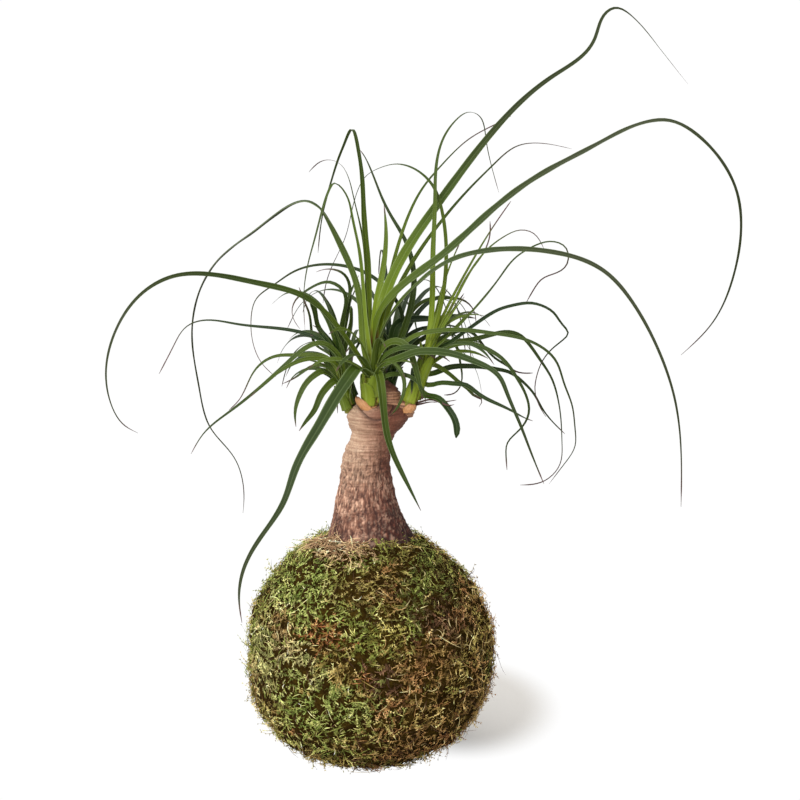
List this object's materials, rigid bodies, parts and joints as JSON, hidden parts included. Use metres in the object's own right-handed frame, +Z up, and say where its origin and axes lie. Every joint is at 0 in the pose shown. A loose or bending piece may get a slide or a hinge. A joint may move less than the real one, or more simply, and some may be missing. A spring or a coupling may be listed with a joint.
{
  "type": "kokedama moss ball plant",
  "caption": "Young ponytail palm with arching strap leaves and a flared woody trunk, growing in a ball of soil wrapped in living moss",
  "frame": {"origin": "middle of the small flat spot that the moss ball rests on", "axes": "+Z up along the trunk, +X to the viewer's right, +Y away from the viewer"},
  "size_m": [0.293, 0.2489, 0.3796],
  "materials": {
    "moss": "feathery living sheet moss, olive to bright green with tan and russet patches",
    "soil": "moist dark potting soil",
    "bark": "tan to reddish brown bark with ring scars above and fissures below",
    "leaf": "satin green strap leaves, yellow green at the base, thin dry tips"
  },
  "bodies": {
    "root": {"moss_layer": "moss", "soil_ball": "soil", "trunk": "bark", "shoot_front": "leaf", "shoot_right": "leaf", "shoot_left": "leaf", "shoot_back": "leaf", "shoot_back_left": "leaf"}
  },
  "joints": []
}
